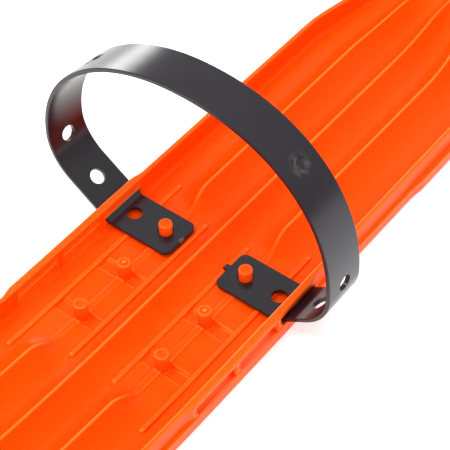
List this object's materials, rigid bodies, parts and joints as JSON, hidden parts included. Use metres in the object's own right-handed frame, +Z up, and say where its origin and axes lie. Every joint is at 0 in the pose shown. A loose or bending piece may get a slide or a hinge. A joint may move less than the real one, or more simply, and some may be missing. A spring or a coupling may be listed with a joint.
{
  "type": "child's mini ski with strap binding",
  "caption": "Short moulded plastic children's ski with a ridged deck, side rails and an upright strap loop that passes through rail slots and buttons onto pegs.",
  "frame": {"origin": "on the running base, in the middle of the ski's length and width", "axes": "+X towards the turned-up tip, +Y to the left, +Z up from the running base"},
  "size_m": [0.44, 0.1538, 0.1109],
  "materials": {
    "ski_plastic": "satin",
    "strap_plastic": "satin"
  },
  "bodies": {
    "ski": {"ski_shell": "ski_plastic", "strap_slot_run_left": "strap_plastic", "strap_slot_run_right": "strap_plastic"},
    "strap_arch": {"strap_arch": "strap_plastic"},
    "strap_tab_left": {"strap_tab_left": "strap_plastic"},
    "strap_tab_right": {"strap_tab_right": "strap_plastic"}
  },
  "joints": [
    {"name": "strap_lean", "type": "hinge", "parent": "ski", "child": "strap_arch", "pos_m": [-0.015, 0, 0.0104], "axis": [0, 1, 0], "range_deg": [-15, 15], "stiffness_Nm_per_rad": 0.08},
    {"name": "tab_left_lift", "type": "hinge", "parent": "ski", "child": "strap_tab_left", "pos_m": [-0.015, 0.04545, 0.006], "axis": [-1, 0, 0], "range_deg": [0, 30], "stiffness_Nm_per_rad": 0.01},
    {"name": "tab_right_lift", "type": "hinge", "parent": "ski", "child": "strap_tab_right", "pos_m": [-0.015, -0.04545, 0.006], "axis": [1, 0, 0], "range_deg": [0, 30], "stiffness_Nm_per_rad": 0.01}
  ]
}
